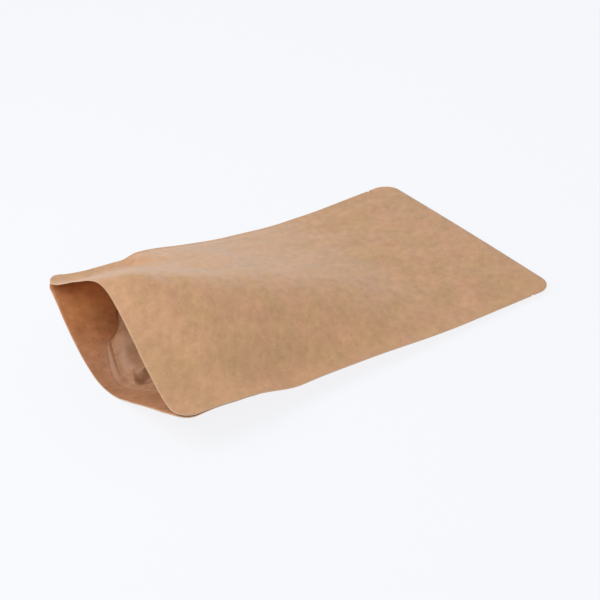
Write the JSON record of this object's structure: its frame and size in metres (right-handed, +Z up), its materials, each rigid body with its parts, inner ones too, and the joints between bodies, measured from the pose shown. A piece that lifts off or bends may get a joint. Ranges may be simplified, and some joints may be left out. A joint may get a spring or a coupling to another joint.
{
  "type": "stand-up pouch",
  "caption": "Empty brown-paper stand-up pouch lying on its back, with flat side seals, rounded corners, tear notches and an open bottom gusset.",
  "frame": {"origin": "on the floor, under the middle of the pouch's box", "axes": "+X from the open bottom end to the closed top end, +Y to the far side seal, +Z up"},
  "size_m": [0.2096, 0.131, 0.0504],
  "materials": {
    "brown_paper": "matt brown paper with a mottled grain and fine fibres, laminated inside with a clear film",
    "gusset_paper": "the same paper seen on its laminated inner side, darker and slightly shiny"
  },
  "bodies": {
    "root": {"pouch_body": "brown_paper", "bottom_gusset": "gusset_paper"}
  },
  "joints": []
}
